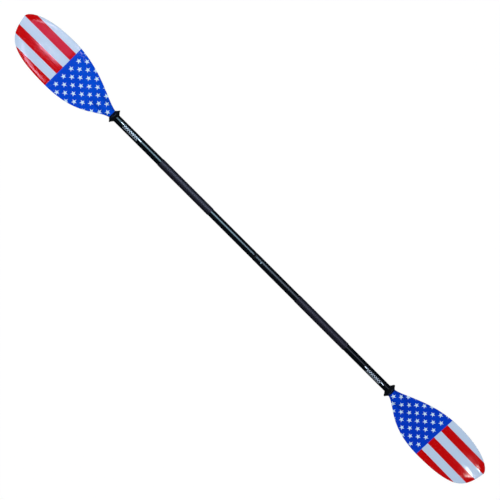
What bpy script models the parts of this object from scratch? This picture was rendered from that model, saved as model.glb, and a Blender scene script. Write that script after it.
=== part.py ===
"""Two-piece kayak paddle: foam-core spoon blades on a tubular shaft with a snap-button ferrule.

The shaft lies along X with the joint between the halves at the origin. The power faces look up
(+Z), and the fuller edge of each blade is on -Y. A place along the shaft is a distance from the
joint, the same on both sides, and side is -1 for the left half and +1 for the right. Metres.
"""

import math

import bmesh
import bpy

# overall sizes
PADDLE_LENGTH = 2.300
BLADE_LENGTH = 0.445
BLADE_WIDTH = 0.181
CLEARANCE = 0.0003  # gap between pieces that touch or slide

# shaft
SHAFT_DIAMETER = 0.0286
SHAFT_WALL = 0.0016
SHAFT_SIDES = 50  # leaves a flat facet along the top and the bottom of every round piece
SCARF_START = 0.020  # how far inside the blade the slanted cut of the tube starts
SCARF_END = 0.105
GRIP_START = 0.219
GRIP_LENGTH = 0.249
GRIP_WALL = 0.0008
GRIP_CHAMFER = 0.0006

# drip rings
RING_LENGTH = 0.0198
RING_LIP_DIAMETER = 0.056
RING_LIP_PLACE = 0.0098  # from the ring's shaft end to its lip
RING_LIP_WIDTH = 0.0030
RING_SHAFT_WALL = 0.0012
RING_BLADE_WALL = 0.0030
RING_FLANK_POINTS = 4
RING_FLANK_HOLLOW = 1.25  # power of the flank's curve: 1 is a straight cone

# ferrule joint
SLEEVE_STANDS = 0.00025  # how much further out the sleeve reaches than the tube
SLEEVE_UNDER_GRIP = 0.018
SLEEVE_STEP_LENGTH = 0.050  # reduced end that is bonded in the right tube
JOINT_RING_LENGTH = 0.0080
COLLAR_LENGTH = 0.0025
SPIGOT_LENGTH = 0.095
FERRULE_WALL = 0.0016
FERRULE_BOND_LENGTH = 0.058
CAP_LIP = 0.0012
CAP_DEPTH = 0.0070

# snap button
BUTTON_PLACE = 0.035
BUTTON_DIAMETER = 0.0065
BUTTON_ANGLE = math.radians(10)  # turned from straight up towards -Y
BUTTON_HEIGHT = 0.0024  # how far the dome stands out of the sleeve
BUTTON_FLANGE = 0.00135  # how far the foot is wider than the shank
BUTTON_FOOT = 0.0010
BUTTON_SIDES = 24
FEATHER_STEP = math.radians(60)
SPRING_WIDTH = 0.0070
SPRING_THICKNESS = 0.0006
SPRING_BEND_PLACE = -0.025
SPRING_BEND_RADIUS = 0.0025
SPRING_FOOT_LENGTH = 0.014

# foam bulkheads
PLUG_LENGTH = 0.025
LEFT_JOINT_PLUG = 0.066
RIGHT_JOINT_PLUG = 0.110
BLADE_PLUG_INSET = 0.060  # from the blade's throat back to the plug

# blades
SKIN = 0.0009
RIM = 0.0024
CORE_SWELL = 0.0018  # extra half thickness at the middle of the blade
CORE_COLUMNS = 1  # columns of the blade's grid between the foam and the edge
CORE_LEAST = 0.0001  # least half thickness of the foam
CORE_START = 0.050
CORE_END = 0.930  # share of the blade's length
CORE_SLOT_MARGIN = 0.0009
SPOON_DIP = 0.006
SPOON_RISE = 0.0375  # rise of the tip over the throat without the dip
DISH = 0.0030  # how much the edges stand above the middle
SPINE_HALF_WIDTH = 0.024
FADE_DELAY = 0.010  # from the start of the scarf, and from its end, to where the bulge fades
FRONT_FADE_LENGTH = 0.105
BACK_FADE_LENGTH = 0.215
STATIONS = (0, 6, 13, 21, 30, 40, 50, 60, 70, 79, 86, 91, 95, 98)  # percent of each edge curve
ACROSS = 16

# each blade edge is two curves, from the throat to the widest point and on to the tip: their
# handles and ends, as shares of the blade's length and width
UPPER_EDGE = {
    "throat_handle": (0.1064, 0.036),
    "widest": (0.5955, 0.478),
    "widest_handles": (0.2925, 0.315),
    "tip_handle": (1.004, 0.239),
}
LOWER_EDGE = {
    "throat_handle": (0.1135, -0.069),
    "widest": (0.5268, -0.522),
    "widest_handles": (0.341, 0.3946),
    "tip_handle": (0.9766, -0.311),
}
TIP = (1.0, 0.155)

SHAFT_RADIUS = SHAFT_DIAMETER / 2
BORE_RADIUS = SHAFT_RADIUS - SHAFT_WALL
PLUG_RADIUS = BORE_RADIUS - CLEARANCE
SLEEVE_RADIUS = SHAFT_RADIUS + SLEEVE_STANDS
FERRULE_BORE = PLUG_RADIUS - FERRULE_WALL
THROAT = PADDLE_LENGTH / 2 - BLADE_LENGTH
THROAT_RADIUS = SHAFT_RADIUS + CLEARANCE + SKIN
SLEEVE_START = JOINT_RING_LENGTH + 2 * CLEARANCE
SLEEVE_END = GRIP_START + SLEEVE_UNDER_GRIP
SIDES = {"left": -1, "right": 1}


# ---- scene and materials

def clear_scene():
    for thing in list(bpy.data.objects):
        bpy.data.objects.remove(thing, do_unlink=True)


def new_collection(name):
    collection = bpy.data.collections.new(name)
    bpy.context.scene.collection.children.link(collection)
    return collection


def new_material(name, colour, roughness, metallic=0.0):
    material = bpy.data.materials.new(name)
    material.use_nodes = True
    shader = material.node_tree.nodes["Principled BSDF"]
    shader.inputs["Base Color"].default_value = (*colour, 1.0)
    shader.inputs["Roughness"].default_value = roughness
    shader.inputs["Metallic"].default_value = metallic
    return material


def place(thing, collection, material=None):
    collection.objects.link(thing)
    if material:
        thing.data.materials.append(material)
    return thing


def make_cutter(thing):
    thing.display_type = "WIRE"
    thing.hide_render = True
    return thing


def cut(thing, cutter):
    boolean = thing.modifiers.new("cut", "BOOLEAN")
    boolean.operation = "DIFFERENCE"
    boolean.solver = "EXACT"
    boolean.object = cutter


# ---- round pieces

def turned(name, profile, side=1, start=0.0, sides=SHAFT_SIDES, closed=False):
    """A piece turned round the shaft. The profile holds (distance from start, radius) pairs that
    run along the outside from the far end to the near end; a closed profile makes a tube."""
    mesh = bpy.data.meshes.new(name)
    count = len(profile)
    points = [(radius, 0, distance) for distance, radius in profile]
    edges = [(i, i + 1) for i in range(count - 1)]
    if closed:
        edges.append((count - 1, 0))
    mesh.from_pydata(points, edges, [])
    thing = bpy.data.objects.new(name, mesh)
    thing.location = (side * start, 0, 0)
    thing.rotation_euler = (math.pi / 2, 0, side * math.pi / 2)
    screw = thing.modifiers.new("turn", "SCREW")
    screw.axis = "Z"
    screw.angle = 2 * math.pi
    screw.steps = sides
    screw.render_steps = sides
    screw.use_merge_vertices = True
    screw.merge_threshold = 0.00001
    screw.use_smooth_shade = False
    return thing


def tube(name, side, start, end, outer, inner):
    length = end - start
    profile = [(length, outer), (0, outer), (0, inner), (length, inner)]
    return turned(name, profile, side, start, closed=True)


def plug(name, side, start, length, radius):
    profile = [(length, 0), (length, radius), (0, radius), (0, 0)]
    return turned(name, profile, side, start)


def flank(start, end, foot, lip, steps):
    """Points of a hollow-ground flank that rises from the foot's radius to the lip's."""
    points = []
    for i in range(steps + 1):
        share = i / steps
        points.append((start + (end - start) * share, foot + (lip - foot) * share ** RING_FLANK_HOLLOW))
    return points


def drip_ring(side):
    lip = RING_LIP_DIAMETER / 2
    bore = SHAFT_RADIUS + CLEARANCE
    round_over = RING_LIP_WIDTH / 2
    to_blade = flank(RING_LENGTH, RING_LIP_PLACE + round_over, bore + RING_BLADE_WALL,
                     lip - round_over, RING_FLANK_POINTS)
    to_shaft = flank(0, RING_LIP_PLACE - round_over, bore + RING_SHAFT_WALL,
                     lip - round_over, RING_FLANK_POINTS)
    outside = to_blade + [(RING_LIP_PLACE, lip)] + to_shaft[::-1]
    profile = outside + [(0, bore), (RING_LENGTH, bore)]
    start = THROAT - CLEARANCE - RING_LENGTH
    return turned(side_name(side, "drip_ring"), profile, side, start, closed=True)


def grip(side):
    outer = SHAFT_RADIUS + CLEARANCE + GRIP_WALL
    bore = SHAFT_RADIUS + CLEARANCE
    wide_bore = SLEEVE_RADIUS + CLEARANCE
    sleeve_step = SLEEVE_END + 3 * CLEARANCE - GRIP_START
    profile = [
        (GRIP_LENGTH, outer - GRIP_CHAMFER),
        (GRIP_LENGTH - GRIP_CHAMFER, outer),
        (GRIP_CHAMFER, outer),
        (0, outer - GRIP_CHAMFER if side < 0 else wide_bore + GRIP_CHAMFER / 3),
    ]
    if side < 0:
        profile += [(0, bore)]
    else:
        profile += [(0, wide_bore), (sleeve_step, wide_bore), (sleeve_step, bore)]
    profile += [(GRIP_LENGTH, bore)]
    return turned(side_name(side, "grip"), profile, side, GRIP_START, closed=True)


def side_name(side, word):
    return f"{'left' if side < 0 else 'right'}_{word}"


# ---- ferrule joint

def male_ferrule():
    collar_end = -COLLAR_LENGTH
    bond_end = collar_end - FERRULE_BOND_LENGTH
    chamfer = FERRULE_WALL / 3
    profile = [
        (SPIGOT_LENGTH, PLUG_RADIUS - chamfer),
        (SPIGOT_LENGTH - chamfer, PLUG_RADIUS),
        (0, PLUG_RADIUS),
        (0, SHAFT_RADIUS),
        (collar_end, SHAFT_RADIUS),
        (collar_end, PLUG_RADIUS),
        (bond_end, PLUG_RADIUS),
        (bond_end, FERRULE_BORE),
        (SPIGOT_LENGTH, FERRULE_BORE),
    ]
    return turned("male_ferrule", profile, closed=True)


def female_ferrule():
    length = SLEEVE_END - SLEEVE_START
    taper = length - SLEEVE_RADIUS / 2
    profile = [
        (length + SLEEVE_STEP_LENGTH, PLUG_RADIUS),
        (length, PLUG_RADIUS),
        (length, SLEEVE_RADIUS),
        (0, SLEEVE_RADIUS),
        (0, PLUG_RADIUS + CLEARANCE),
        (taper, PLUG_RADIUS + CLEARANCE),
        (length, FERRULE_BORE),
        (length + SLEEVE_STEP_LENGTH, FERRULE_BORE),
    ]
    return turned("female_ferrule", profile, 1, SLEEVE_START, closed=True)


def joint_ring():
    return tube("joint_ring", 1, CLEARANCE, CLEARANCE + JOINT_RING_LENGTH,
                (SHAFT_RADIUS + SLEEVE_RADIUS) / 2, PLUG_RADIUS + CLEARANCE)


def ferrule_cap():
    profile = [
        (CAP_LIP, 0),
        (CAP_LIP, PLUG_RADIUS),
        (0, PLUG_RADIUS),
        (0, FERRULE_BORE - CLEARANCE),
        (-CAP_DEPTH, FERRULE_BORE - CLEARANCE),
        (-CAP_DEPTH, 0),
    ]
    return turned("ferrule_cap", profile, 1, SPIGOT_LENGTH + CLEARANCE)


def button_hole(angle):
    """A cutter for one button hole, at an angle from straight up towards -Y."""
    length = SLEEVE_RADIUS * 1.5
    radius = BUTTON_DIAMETER / 2 + CLEARANCE
    bpy.ops.mesh.primitive_cylinder_add(vertices=BUTTON_SIDES, radius=radius, depth=length)
    cutter = bpy.context.active_object
    cutter.name = f"button_hole_{round(math.degrees(angle))}"
    out = (0, -math.sin(angle), math.cos(angle))
    middle = FERRULE_BORE / 2 + length / 2
    cutter.location = (BUTTON_PLACE, out[1] * middle, out[2] * middle)
    cutter.rotation_euler = (angle, 0, 0)
    for collection in list(cutter.users_collection):
        collection.objects.unlink(cutter)
    return make_cutter(cutter)


def foot_top():
    """Height of the button's foot under the curved wall of the ferrule's bore."""
    reach = BUTTON_DIAMETER / 2 + BUTTON_FLANGE
    return math.sqrt(FERRULE_BORE ** 2 - reach ** 2) - CLEARANCE


def snap_button():
    radius = BUTTON_DIAMETER / 2
    top = SLEEVE_RADIUS + BUTTON_HEIGHT
    shoulder = top - radius * 0.65
    dome = []
    for i in range(5):
        turn = math.pi / 2 * i / 4
        dome.append((shoulder + (top - shoulder) * math.cos(turn), radius * math.sin(turn)))
    foot = foot_top()
    profile = dome + [
        (foot, radius),
        (foot, radius + BUTTON_FLANGE),
        (foot - BUTTON_FOOT, radius + BUTTON_FLANGE),
        (foot - BUTTON_FOOT, 0),
    ]
    thing = turned("snap_button", profile, 1, BUTTON_PLACE, BUTTON_SIDES)
    thing.rotation_euler = (BUTTON_ANGLE, 0, 0)
    return thing


def button_spring():
    """A V-shaped leaf: the bend lies deep in the spigot, one leg carries the button and the other
    presses on the wall across from it."""
    half = SPRING_THICKNESS / 2
    under_button = foot_top() - BUTTON_FOOT - CLEARANCE - half
    wall = math.sqrt(FERRULE_BORE ** 2 - (SPRING_WIDTH / 2) ** 2)
    on_wall = -(wall - CLEARANCE - half)
    foot_start = BUTTON_PLACE - SPRING_FOOT_LENGTH / 2
    foot_end = BUTTON_PLACE + SPRING_FOOT_LENGTH / 2
    route = [(foot_end, under_button), (foot_start, under_button)]
    for i in range(5):
        turn = math.pi / 2 + math.pi * i / 4
        route.append((SPRING_BEND_PLACE + SPRING_BEND_RADIUS * math.cos(turn),
                      SPRING_BEND_RADIUS * math.sin(turn)))
    route += [(foot_start, on_wall), (foot_end, on_wall)]
    curve = bpy.data.curves.new("button_spring", "CURVE")
    curve.dimensions = "3D"
    curve.extrude = SPRING_WIDTH / 2
    spline = curve.splines.new("POLY")
    spline.points.add(len(route) - 1)
    for point, (along, height) in zip(spline.points, route):
        point.co = (along, height, 0, 1)
    strip = bpy.data.objects.new("strip", curve)
    bpy.context.scene.collection.objects.link(strip)
    bpy.context.view_layer.update()
    mesh = bpy.data.meshes.new_from_object(strip.evaluated_get(bpy.context.evaluated_depsgraph_get()))
    mesh.name = "button_spring"
    bpy.data.objects.remove(strip, do_unlink=True)
    thing = bpy.data.objects.new("button_spring", mesh)
    thing.rotation_euler = (math.pi / 2 + BUTTON_ANGLE, 0, 0)
    leaf = thing.modifiers.new("leaf", "SOLIDIFY")
    leaf.thickness = SPRING_THICKNESS
    leaf.offset = 0
    leaf.use_even_offset = True
    return thing


# ---- blades

def smooth(value, low, high):
    share = min(max((value - low) / (high - low), 0.0), 1.0)
    return share * share * (3 - 2 * share)


def bezier(points, share):
    rest = 1 - share
    weights = (rest ** 3, 3 * rest ** 2 * share, 3 * rest * share ** 2, share ** 3)
    return tuple(sum(w * p[k] for w, p in zip(weights, points)) for k in (0, 1))


def edge_point(edge, share):
    """A point of one blade edge: 0 is the throat, 0.5 the widest point and 1 the tip."""
    sign = math.copysign(1, edge["widest"][1])
    root = (0, sign * THROAT_RADIUS)
    size = (BLADE_LENGTH, BLADE_WIDTH)
    first = (edge["throat_handle"][0] * size[0], root[1] + edge["throat_handle"][1] * size[1])
    widest = (edge["widest"][0] * size[0], edge["widest"][1] * size[1])
    before, after = (value * size[0] for value in edge["widest_handles"])
    last = (edge["tip_handle"][0] * size[0], edge["tip_handle"][1] * size[1])
    tip = (TIP[0] * size[0], TIP[1] * size[1])
    if share <= 0.5:
        return bezier((root, first, (widest[0] - before, widest[1]), widest), share * 2)
    return bezier((widest, (widest[0] + after, widest[1]), last, tip), share * 2 - 1)


def middle_height(along, across):
    """Height of the blade's middle surface: it dips behind the shaft, then spoons up."""
    dip = SPOON_DIP * smooth(along, 0, 0.18 * BLADE_LENGTH)
    rise = SPOON_RISE * (along / BLADE_LENGTH) ** 2
    dish = DISH * (2 * across / BLADE_WIDTH) ** 2 * smooth(along, 0, 0.3 * BLADE_LENGTH)
    return rise - dip + dish


def bulge(along, across, half_width):
    """Share of the tube's round form that stands at this place: 1 over the middle of the tube."""
    ring = math.sqrt(max(0.0, 1 - (across / THROAT_RADIUS) ** 2))
    width = min(SPINE_HALF_WIDTH, half_width)
    bell = max(0.0, 1 - (abs(across) / width) ** 2.5) ** 1.2
    return max(ring, bell * smooth(along, 0, 0.030))


def face_height(along, across, share, half_width, up):
    """Outer height of the power face (up is 1) or of the back face (up is -1)."""
    ramp = smooth(along, 0, 0.060) * (1 - 0.4 * along / BLADE_LENGTH)
    half_thickness = RIM / 2 + CORE_SWELL * (1 - abs(share) ** 3) * ramp
    plate = middle_height(along, across) + up * half_thickness
    start = (SCARF_START if up > 0 else SCARF_END) + FADE_DELAY
    length = FRONT_FADE_LENGTH if up > 0 else BACK_FADE_LENGTH
    stands = 1 - smooth(along, start, start + length)
    return plate + (up * THROAT_RADIUS - plate) * bulge(along, across, half_width) * stands


def blade_grid():
    """Places on the blade in rows from the throat to the tip: (along, across, share, half width),
    where share runs from -1 on the lower edge to 1 on the upper edge."""
    rows = []
    for percent in STATIONS:
        upper = edge_point(UPPER_EDGE, percent / 100)
        lower = edge_point(LOWER_EDGE, percent / 100)
        lean = smooth(percent, 70, 98)
        middle = ((upper[0] + lower[0]) / 2, (upper[1] + lower[1]) / 2 * lean)
        row = []
        for i in range(ACROSS + 1):
            even = 2 * i / ACROSS - 1
            edge = upper if even >= 0 else lower
            half_width = math.hypot(edge[0] - middle[0], edge[1] - middle[1])
            dense = min(1.0, 0.030 / half_width)
            flat = smooth(half_width, THROAT_RADIUS, 0.045)
            round_spacing = math.sin(abs(even) * math.pi / 2)
            flat_spacing = dense * abs(even) + (1 - dense) * abs(even) ** 3
            share = round_spacing * (1 - flat) + flat_spacing * flat
            along = middle[0] + (edge[0] - middle[0]) * share
            across = middle[1] + (edge[1] - middle[1]) * share
            row.append((along, across, math.copysign(share, even), half_width))
        rows.append(row)
    return rows


def inner_height(place_on_blade, up):
    """Height of a skin's inner side, measured square to its outer side."""
    along, across, share, half_width = place_on_blade
    step = 0.0005
    outer = face_height(along, across, share, half_width, up)
    slope_along = (face_height(along + step, across, share, half_width, up) - outer) / step
    side_step = step if across < 0 else -step
    slope_across = (face_height(along, across + side_step, share, half_width, up) - outer) / step
    drop = SKIN * min(3.0, math.sqrt(1 + slope_along ** 2 + slope_across ** 2))
    limit = middle_height(along, across) + up * CLEARANCE / 2
    return max(outer - drop, limit) if up > 0 else min(outer + drop, limit)


def body_between(name, top, bottom, side):
    """A closed body between two grids of points that share their layout."""
    mesh = bpy.data.meshes.new(name)
    body = bmesh.new()
    grids = []
    for grid in (top, bottom):
        grids.append([[body.verts.new((side * (THROAT + x), y, z)) for x, y, z in row]
                      for row in grid])
    rows, columns = len(top), len(top[0])
    for grid in grids:
        for i in range(rows - 1):
            for j in range(columns - 1):
                body.faces.new((grid[i][j], grid[i][j + 1], grid[i + 1][j + 1], grid[i + 1][j]))
    upper, lower = grids
    for i in range(rows - 1):
        for j in (0, columns - 1):
            body.faces.new((upper[i][j], upper[i + 1][j], lower[i + 1][j], lower[i][j]))
    for j in range(columns - 1):
        for i in (0, rows - 1):
            body.faces.new((upper[i][j], upper[i][j + 1], lower[i][j + 1], lower[i][j]))
    bmesh.ops.recalc_face_normals(body, faces=body.faces)
    bmesh.ops.triangulate(body, faces=body.faces)
    body.to_mesh(mesh)
    body.free()
    return bpy.data.objects.new(name, mesh)


def blade_skin(side, up):
    outside, inside = [], []
    for row in blade_grid():
        outside.append([(p[0], p[1], face_height(*p, up)) for p in row])
        inside.append([(p[0], p[1], inner_height(p, up)) for p in row])
    word = "blade_front" if up > 0 else "blade_back"
    return body_between(side_name(side, word), outside, inside, side)


def blade_core(side):
    top, bottom = [], []
    for row in blade_grid():
        if row[0][0] < CORE_START or row[0][0] > CORE_END * BLADE_LENGTH:
            continue
        upper_row, lower_row = [], []
        for spot in row[CORE_COLUMNS:-CORE_COLUMNS]:
            along, across = spot[:2]
            middle = middle_height(along, across)
            high = max(inner_height(spot, 1) - CLEARANCE, middle + CORE_LEAST)
            low = min(inner_height(spot, -1) + CLEARANCE, middle - CORE_LEAST)
            upper_row.append((along, across, high))
            lower_row.append((along, across, low))
        top.append(upper_row)
        bottom.append(lower_row)
    return body_between(side_name(side, "blade_core"), top, bottom, side)


def core_slot(side):
    """A cutter that leaves room in the foam for the end of the shaft."""
    end = SCARF_END + 10 * CLEARANCE
    bpy.ops.mesh.primitive_cube_add(size=1)
    cutter = bpy.context.active_object
    cutter.name = side_name(side, "core_slot")
    cutter.scale = (2 * end, 2 * (SHAFT_RADIUS + CORE_SLOT_MARGIN), 4 * SHAFT_DIAMETER)
    cutter.location = (side * THROAT, 0, 0)
    for collection in list(cutter.users_collection):
        collection.objects.unlink(cutter)
    return make_cutter(cutter)


def scarf_cutter(side):
    """A cutter for the slanted end of a tube: all that lies above the slant."""
    run = SCARF_END - SCARF_START
    slant = math.atan2(SHAFT_DIAMETER, run)
    size = 4 * run
    bpy.ops.mesh.primitive_cube_add(size=size)
    cutter = bpy.context.active_object
    cutter.name = side_name(side, "scarf_cutter")
    centre = THROAT + (SCARF_START + SCARF_END) / 2
    cutter.location = (side * (centre + math.sin(slant) * size / 2), 0, math.cos(slant) * size / 2)
    cutter.rotation_euler = (0, side * slant, 0)
    for collection in list(cutter.users_collection):
        collection.objects.unlink(cutter)
    return make_cutter(cutter)


# ---- the paddle

def build_side(side, parts, cutters, materials, parent):
    """All the pieces of one half but its ferrule."""
    pieces = [
        (blade_skin(side, 1), "blade print"),
        (blade_skin(side, -1), "blade back"),
        (plug(side_name(side, "blade_plug"), side, THROAT - BLADE_PLUG_INSET, PLUG_LENGTH,
              PLUG_RADIUS), "foam"),
        (grip(side), "grip"),
        (drip_ring(side), "rubber"),
    ]
    core = blade_core(side)
    cut(core, place(core_slot(side), cutters))
    pieces.append((core, "foam"))
    start = COLLAR_LENGTH + CLEARANCE if side < 0 else SLEEVE_END + CLEARANCE
    shaft = tube(side_name(side, "shaft_tube"), side, start, THROAT + SCARF_END + CLEARANCE,
                 SHAFT_RADIUS, BORE_RADIUS)
    cut(shaft, place(scarf_cutter(side), cutters))
    pieces.append((shaft, "shaft"))
    plug_start = LEFT_JOINT_PLUG if side < 0 else RIGHT_JOINT_PLUG
    pieces.append((plug(side_name(side, "joint_plug"), side, plug_start, PLUG_LENGTH,
                        PLUG_RADIUS), "foam"))
    for piece, finish in pieces:
        place(piece, parts, materials[finish]).parent = parent


def build_joint(parts, cutters, materials, left, right):
    """The ferrule, its ring and its snap button."""
    male, female = male_ferrule(), female_ferrule()
    holes = [place(button_hole(BUTTON_ANGLE + turn * FEATHER_STEP), cutters) for turn in (0, -1, 1)]
    cut(male, holes[0])
    for hole in holes:
        cut(female, hole)
    place(male, parts, materials["ferrule"]).parent = left
    place(female, parts, materials["sleeve"]).parent = right
    place(joint_ring(), parts, materials["rubber"]).parent = left
    place(ferrule_cap(), parts, materials["rubber"]).parent = left
    place(snap_button(), parts, materials["steel"]).parent = left
    place(button_spring(), parts, materials["steel"]).parent = left


def smooth_round_pieces(parts):
    for thing in parts.objects:
        if thing.type == "MESH":
            thing.data.shade_smooth()
            thing.data.set_sharp_from_angle(angle=math.radians(40))


def main():
    clear_scene()
    parts = new_collection("kayak_paddle")
    cutters = new_collection("cutters")
    materials = {
        "blade print": new_material("blade print", (0.02, 0.09, 0.55), 0.25),
        "blade back": new_material("blade back", (0.02, 0.09, 0.55), 0.30),
        "shaft": new_material("shaft", (0.010, 0.011, 0.013), 0.20),
        "sleeve": new_material("sleeve", (0.014, 0.015, 0.018), 0.35),
        "ferrule": new_material("ferrule", (0.03, 0.03, 0.03), 0.40),
        "grip": new_material("grip", (0.018, 0.018, 0.022), 0.75),
        "rubber": new_material("rubber", (0.010, 0.010, 0.010), 0.60),
        "steel": new_material("steel", (0.75, 0.76, 0.78), 0.20, 1.0),
        "foam": new_material("foam", (0.75, 0.72, 0.62), 0.90),
    }
    halves = {}
    for word, side in SIDES.items():
        half = bpy.data.objects.new(f"{word}_half", None)
        parts.objects.link(half)
        halves[word] = half
        build_side(side, parts, cutters, materials, half)
    build_joint(parts, cutters, materials, halves["left"], halves["right"])
    smooth_round_pieces(parts)


main()
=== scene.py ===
import math

import bpy
from mathutils import Matrix, Vector


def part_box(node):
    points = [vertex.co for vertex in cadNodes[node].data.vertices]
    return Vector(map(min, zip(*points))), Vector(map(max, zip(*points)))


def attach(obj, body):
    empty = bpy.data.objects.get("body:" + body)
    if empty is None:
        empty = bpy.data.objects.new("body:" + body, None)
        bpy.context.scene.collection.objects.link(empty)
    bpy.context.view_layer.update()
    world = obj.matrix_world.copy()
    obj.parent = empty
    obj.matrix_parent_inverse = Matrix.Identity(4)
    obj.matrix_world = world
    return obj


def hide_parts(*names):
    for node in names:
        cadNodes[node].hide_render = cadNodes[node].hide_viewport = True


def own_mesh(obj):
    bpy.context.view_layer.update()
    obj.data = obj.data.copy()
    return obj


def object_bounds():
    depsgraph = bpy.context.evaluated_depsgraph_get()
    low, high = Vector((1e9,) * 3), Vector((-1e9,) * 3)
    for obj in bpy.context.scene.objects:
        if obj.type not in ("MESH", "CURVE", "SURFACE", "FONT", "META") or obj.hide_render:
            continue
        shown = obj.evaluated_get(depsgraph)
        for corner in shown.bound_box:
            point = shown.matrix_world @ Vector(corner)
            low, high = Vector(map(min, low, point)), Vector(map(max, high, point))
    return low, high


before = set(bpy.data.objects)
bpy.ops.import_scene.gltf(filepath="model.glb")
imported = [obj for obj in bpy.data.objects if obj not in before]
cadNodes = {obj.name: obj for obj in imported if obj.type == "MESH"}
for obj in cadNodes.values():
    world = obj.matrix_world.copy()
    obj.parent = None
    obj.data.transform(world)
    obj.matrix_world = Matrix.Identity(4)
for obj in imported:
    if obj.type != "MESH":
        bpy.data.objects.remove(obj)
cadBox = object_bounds()
sides = {"left": -1, "right": 1}
print("frame loaded:", len(cadNodes), "CAD nodes")


def deselectAll():
    if bpy.context.object and bpy.context.object.mode != "OBJECT":
        bpy.ops.object.mode_set(mode="OBJECT")
    bpy.ops.object.select_all(action="DESELECT")


def selectOnly(piece):
    deselectAll()
    piece.select_set(True)
    bpy.context.view_layer.objects.active = piece


def startEdit(piece):
    selectOnly(piece)
    bpy.ops.object.mode_set(mode="EDIT")
    bpy.ops.mesh.select_all(action="SELECT")


def applyPlace(piece):
    selectOnly(piece)
    bpy.ops.object.transform_apply(location=True, rotation=True, scale=True)


def useModifier(piece, kind, **settings):
    selectOnly(piece)
    modifier = piece.modifiers.new(kind.lower(), kind)
    for word, value in settings.items():
        setattr(modifier, word, value)
    bpy.ops.object.modifier_apply(modifier=modifier.name)


def shadeByAngle(piece, degrees=32):
    selectOnly(piece)
    bpy.ops.object.shade_smooth_by_angle(angle=math.radians(degrees))


def softenEdges(piece, width, segments=3, degrees=32):
    # rounds every edge sharper than the angle
    useModifier(piece, "BEVEL", width=width, segments=segments, limit_method="ANGLE",
                angle_limit=math.radians(degrees))


mergeDistance = 0.000002


def turnPiece(name, profile, steps=96, edge=0.0, shade=32):
    # profile is a closed loop of (place along x, radius), spun round the shaft's axis
    deselectAll()
    bpy.ops.mesh.primitive_circle_add(vertices=len(profile), radius=0.01)
    piece = bpy.context.object
    piece.name = piece.data.name = name
    for vert, (along, radius) in zip(piece.data.vertices, profile):
        vert.co = (along, 0, radius)
    startEdit(piece)
    bpy.ops.mesh.spin(steps=steps, angle=2 * math.pi, center=(0, 0, 0), axis=(1, 0, 0))
    bpy.ops.mesh.select_all(action="SELECT")
    bpy.ops.mesh.remove_doubles(threshold=mergeDistance)
    bpy.ops.mesh.delete_loose()
    bpy.ops.mesh.select_all(action="SELECT")
    bpy.ops.mesh.normals_make_consistent(inside=False)
    bpy.ops.object.mode_set(mode="OBJECT")
    if edge:
        softenEdges(piece, edge)
    shadeByAngle(piece, shade)
    return piece


def finishPiece(piece, body, slotName, material, *replaced):
    piece.data.materials.clear()
    piece.data.materials.append(material)
    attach(piece, body)
    if replaced:
        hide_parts(*replaced)
    return piece


def newMaterial(name, **settings):
    material = bpy.data.materials.new(name)
    material.use_nodes = True
    shader = material.node_tree.nodes["Principled BSDF"]
    for word, value in settings.items():
        socket = shader.inputs[word.replace("_", " ")]
        socket.default_value = (*value, 1) if isinstance(value, tuple) and len(value) == 3 else value
    return material


def shaderOf(material):
    return material.node_tree.nodes["Principled BSDF"]


def addNode(material, kind, inputs=None, **settings):
    node = material.node_tree.nodes.new(kind)
    for word, value in settings.items():
        setattr(node, word, value)
    for word, value in (inputs or {}).items():
        feed(material, value, node.inputs[word])
    return node


def feed(material, value, socket):
    if isinstance(value, bpy.types.NodeSocket):
        material.node_tree.links.new(value, socket)
    elif isinstance(value, tuple) and len(value) == 3 and socket.type == "RGBA":
        socket.default_value = (*value, 1)
    else:
        socket.default_value = value


def calc(material, operation, *values):
    node = addNode(material, "ShaderNodeMath", operation=operation)
    for value, socket in zip(values, node.inputs):
        feed(material, value, socket)
    return node.outputs[0]


def ramp(material, value, low, high, fromValue=0.0, toValue=1.0, smooth=True):
    node = addNode(material, "ShaderNodeMapRange", clamp=True,
                   interpolation_type="SMOOTHSTEP" if smooth else "LINEAR")
    feed(material, value, node.inputs["Value"])
    for word, limit in (("From Min", low), ("From Max", high), ("To Min", fromValue), ("To Max", toValue)):
        node.inputs[word].default_value = limit
    return node.outputs["Result"]


def spread(material, value, low, high):
    # the middle of a noise, stretched over the range
    return ramp(material, value, 0.3, 0.7, low, high)


def mixColour(material, share, first, second, blend="MIX"):
    node = addNode(material, "ShaderNodeMix", data_type="RGBA", blend_type=blend)
    feed(material, share, node.inputs[0])
    feed(material, first, node.inputs[6])
    feed(material, second, node.inputs[7])
    return node.outputs[2]


def place(material):
    return addNode(material, "ShaderNodeTexCoord").outputs["Object"]


def splitPlace(material, vector):
    node = addNode(material, "ShaderNodeSeparateXYZ", {"Vector": vector})
    return tuple(node.outputs)


def noise(material, vector, scale, detail=3.0):
    node = addNode(material, "ShaderNodeTexNoise", {"Vector": vector, "Scale": scale, "Detail": detail})
    return node.outputs["Fac"]


def stretched(material, vector, scale):
    node = addNode(material, "ShaderNodeMapping", {"Vector": vector})
    node.inputs["Scale"].default_value = scale
    return node.outputs["Vector"]


def bump(material, height, distance, normal=None):
    node = addNode(material, "ShaderNodeBump", {"Height": height, "Distance": distance, "Strength": 1.0})
    if normal:
        feed(material, normal, node.inputs["Normal"])
    return node.outputs["Normal"]


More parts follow.
